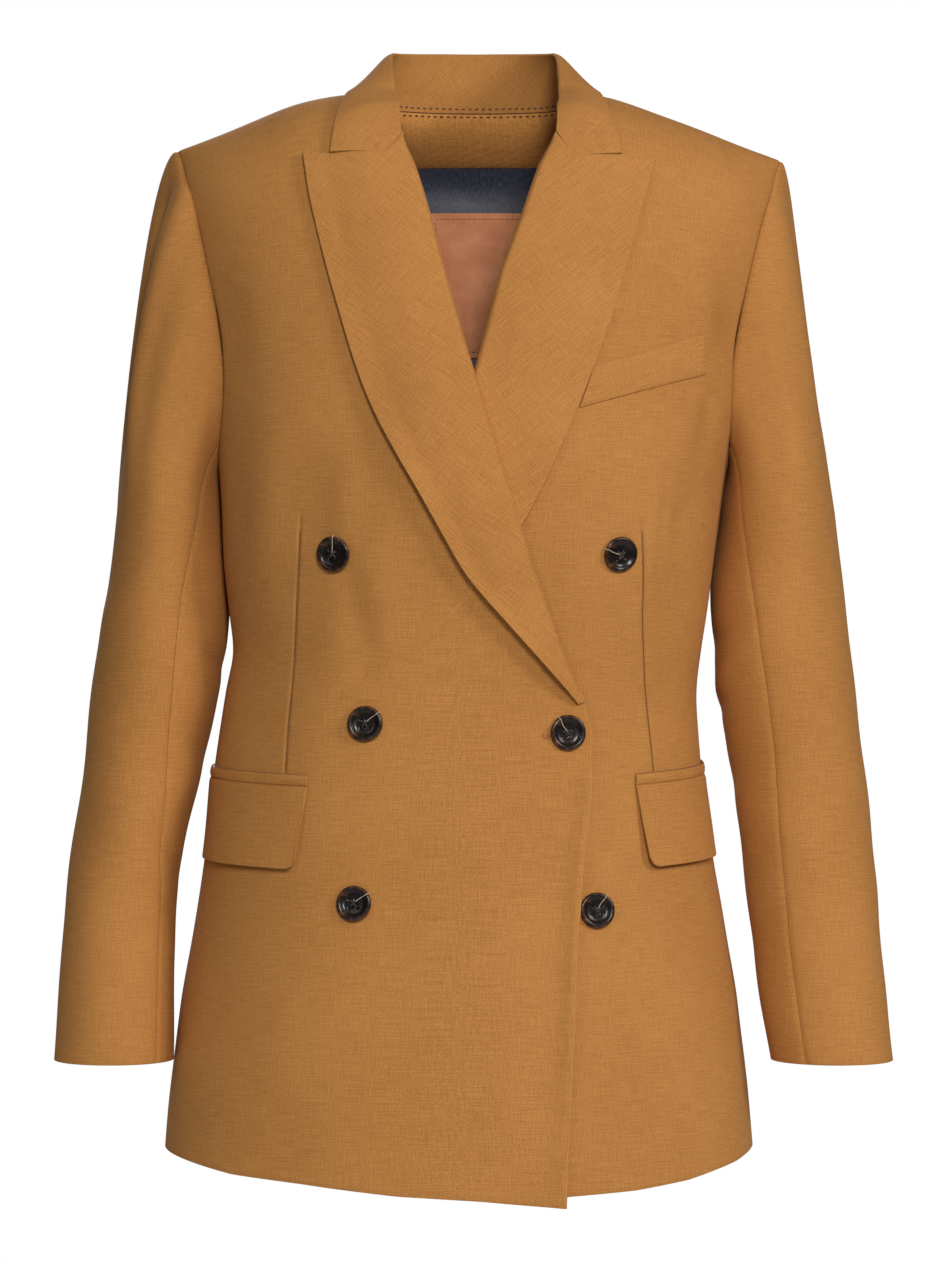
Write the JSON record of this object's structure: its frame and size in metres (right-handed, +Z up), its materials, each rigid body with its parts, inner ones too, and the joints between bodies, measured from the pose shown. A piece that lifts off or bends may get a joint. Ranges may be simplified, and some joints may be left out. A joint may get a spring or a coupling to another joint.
{
  "type": "double breasted blazer",
  "caption": "Double breasted wool blazer with peaked lapels, breast welt, flap pockets and horn buttons, filled out as worn with nobody in it, open at neck, hem and cuffs",
  "frame": {"origin": "middle of the neck at the height of the neck points, where the wearer's shoulders hold the blazer up", "axes": "+Z up; -Y is the front; +X is to the viewer's right in the picture, which is the wearer's left"},
  "size_m": [0.5624, 0.2522, 0.7725],
  "materials": {
    "wool": "plain weave camel wool with fine slubs, matt",
    "lapel_wool": "the same wool, its weave running on the slant over lapels and collar, matt",
    "lining_satin": "navy satin lining, soft sheen",
    "leather": "tan suede-like leather, matt",
    "button_horn": "dark brown horn, polished, a little see-through at the rim"
  },
  "bodies": {
    "root": {"front_right": "wool", "front_left": "wool", "back_right": "wool", "back_left": "wool", "sleeve_upper_right": "wool", "sleeve_upper_left": "wool", "sleeve_under_right": "wool", "sleeve_under_left": "wool", "lapel_right": "lapel_wool", "lapel_left": "lapel_wool", "collar_leaf": "lapel_wool", "collar_stand": "wool", "neck_facing": "wool", "lining_back": "lining_satin", "label_patch": "leather", "breast_welt": "wool", "pocket_jet_right": "wool", "pocket_jet_left": "wool", "pocket_flap_right": "wool", "pocket_flap_left": "wool", "button_1": "button_horn", "button_2": "button_horn", "button_3": "button_horn", "button_4": "button_horn", "button_5": "button_horn", "button_6": "button_horn"}
  },
  "joints": []
}
